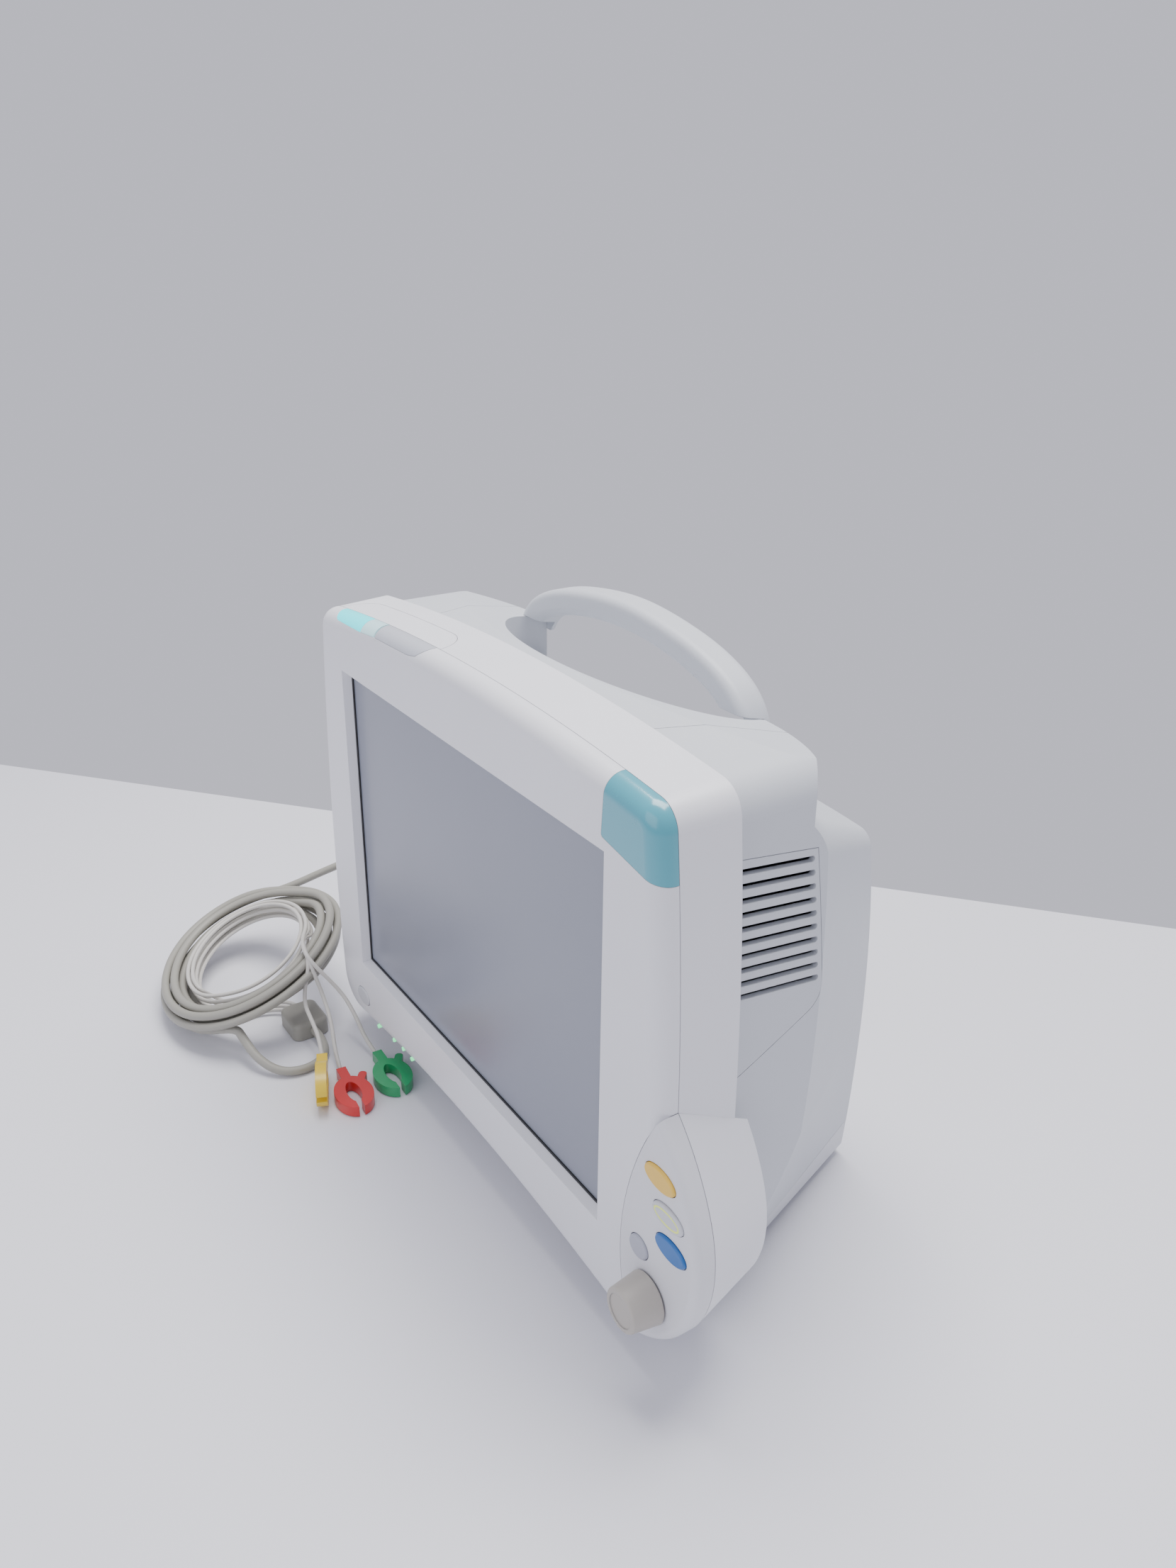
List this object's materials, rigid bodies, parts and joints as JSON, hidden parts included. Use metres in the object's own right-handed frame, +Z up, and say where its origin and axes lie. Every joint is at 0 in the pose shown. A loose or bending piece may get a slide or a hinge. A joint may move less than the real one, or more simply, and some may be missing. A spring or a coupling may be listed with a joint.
{
  "type": "patient monitor",
  "caption": "Bedside patient monitor with a grey body, white bezel, big screen, drop-shaped control pod with keys and a knob, arched carry handle and side plug-in modules.",
  "frame": {"origin": "on the table under the centre of the bounding box of the monitor without its cords", "axes": "+X to the right of someone facing the screen, +Y to the back, +Z up"},
  "size_m": [0.5071, 0.4165, 0.3115],
  "materials": {
    "bezel_white": "satin moulded plastic",
    "housing_white": "satin moulded plastic",
    "cool_grey": "fine textured moulded plastic",
    "tray_grey": "fine textured moulded plastic",
    "panel_grey": "satin",
    "taupe": "satin",
    "lit_cyan": "lit translucent plastic",
    "pale_lens": "translucent plastic",
    "grey_window": "smoked translucent plastic",
    "teal": "gloss",
    "yellow": "satin",
    "light_key": "satin",
    "blue": "satin",
    "key_grey": "satin",
    "ring_light": "lit translucent plastic",
    "steel": "brushed",
    "dark_plastic": "matte",
    "board_green": "solder mask",
    "led_green": "clear light guide",
    "rubber": "matte",
    "screen": "anti-glare coated glass",
    "black_line": "matte",
    "panel_silver": "sheet",
    "chassis_steel": "zinc plated sheet",
    "battery_wrap": "satin",
    "module_face": "satin",
    "socket_mix": "satin",
    "brass": "plated",
    "black_rubber": "matte cable sheath",
    "cable_taupe": "matte cable sheath",
    "lead_grey": "matte cable sheath",
    "clip_colours": "gloss, one colour for each lead"
  },
  "bodies": {
    "monitor": {"front_bezel": "bezel_white", "lamp_lens_lit": "lit_cyan", "lamp_lens_pale": "pale_lens", "lamp_window": "grey_window", "corner_badge": "teal", "control_panel": "panel_grey", "encoder": "dark_plastic", "key_board": "board_green", "led_guides": "led_green", "white_housing": "housing_white", "lamp_cap": "housing_white", "vent_panels": "cool_grey", "top_cover": "cool_grey", "base_tray": "tray_grey", "main_housing": "cool_grey", "handle": "cool_grey", "feet": "rubber", "screen_gasket": "black_line", "touch_glass": "screen", "lcd_panel": "dark_plastic", "chassis": "chassis_steel", "main_board": "board_green", "power_supply": "panel_silver", "battery": "battery_wrap", "fan_frame": "dark_plastic", "speaker": "dark_plastic", "module_bay": "panel_grey", "measurement_module": "module_face", "patient_sockets": "socket_mix", "nbp_port": "steel", "rear_panel": "panel_silver", "mains_inlet": "dark_plastic", "earth_stud": "brass", "data_connectors": "dark_plastic", "door_hinge_pin": "steel", "base_screws": "steel", "panel_screws": "steel", "iec_connector": "black_rubber", "power_cord": "black_rubber", "power_coil": "black_rubber", "mains_plug": "black_rubber", "ecg_plug": "cable_taupe", "ecg_trunk": "cable_taupe", "ecg_coil": "cable_taupe", "lead_block": "cable_taupe", "ecg_leads": "lead_grey", "lead_clips": "clip_colours"},
    "knob_stem": {"knob_shaft": "steel"},
    "knob": {"knob": "taupe"},
    "silence_key": {"key_silence": "yellow"},
    "alarm_key": {"key_alarms_off": "light_key", "alarm_light_ring": "ring_light"},
    "screen_key": {"key_main_screen": "blue"},
    "back_key": {"key_back": "key_grey"},
    "standby_key": {"standby_key": "light_key"},
    "plug_in_module": {"parameter_module": "module_face", "pressure_sockets": "socket_mix"},
    "module_latch": {"module_latch": "key_grey"},
    "battery_door": {"battery_door": "cool_grey"},
    "fan_rotor": {"fan_rotor": "dark_plastic"}
  },
  "joints": [
    {"name": "knob_push", "type": "slide", "parent": "monitor", "child": "knob_stem", "axis": [0, 1, 0], "range_m": [0, 0.0006], "stiffness_N_per_m": 2500, "springref_m": -0.0006},
    {"name": "knob_turn", "type": "hinge", "parent": "knob_stem", "child": "knob", "pos_m": [0.15815, -0.09825, 0.0505], "axis": [0, -1, 0], "continuous": true},
    {"name": "silence_press", "type": "slide", "parent": "monitor", "child": "silence_key", "axis": [0, 1, 0], "range_m": [0, 0.0008], "stiffness_N_per_m": 900, "springref_m": -0.0006},
    {"name": "alarms_off_press", "type": "slide", "parent": "monitor", "child": "alarm_key", "axis": [0, 1, 0], "range_m": [0, 0.0008], "stiffness_N_per_m": 900, "springref_m": -0.0006},
    {"name": "main_screen_press", "type": "slide", "parent": "monitor", "child": "screen_key", "axis": [0, 1, 0], "range_m": [0, 0.0008], "stiffness_N_per_m": 900, "springref_m": -0.0006},
    {"name": "back_press", "type": "slide", "parent": "monitor", "child": "back_key", "axis": [0, 1, 0], "range_m": [0, 0.0008], "stiffness_N_per_m": 900, "springref_m": -0.0006},
    {"name": "standby_press", "type": "slide", "parent": "monitor", "child": "standby_key", "axis": [0, 1, 0], "range_m": [0, 0.0008], "stiffness_N_per_m": 900, "springref_m": -0.0006},
    {"name": "module_slide", "type": "slide", "parent": "monitor", "child": "plug_in_module", "axis": [-1, 0, 0], "range_m": [0, 0.06]},
    {"name": "latch_lift", "type": "slide", "parent": "plug_in_module", "child": "module_latch", "axis": [0, 0, 1], "range_m": [0, 0.002], "stiffness_N_per_m": 600, "springref_m": -0.001},
    {"name": "battery_door_hinge", "type": "hinge", "parent": "monitor", "child": "battery_door", "pos_m": [-0.01385, 0.09495, 0.0332], "axis": [-1, 0, 0], "range_deg": [0, 90]},
    {"name": "fan_spin", "type": "hinge", "parent": "monitor", "child": "fan_rotor", "pos_m": [0.08215, 0.00775, 0.205], "axis": [0, 1, 0], "continuous": true}
  ]
}
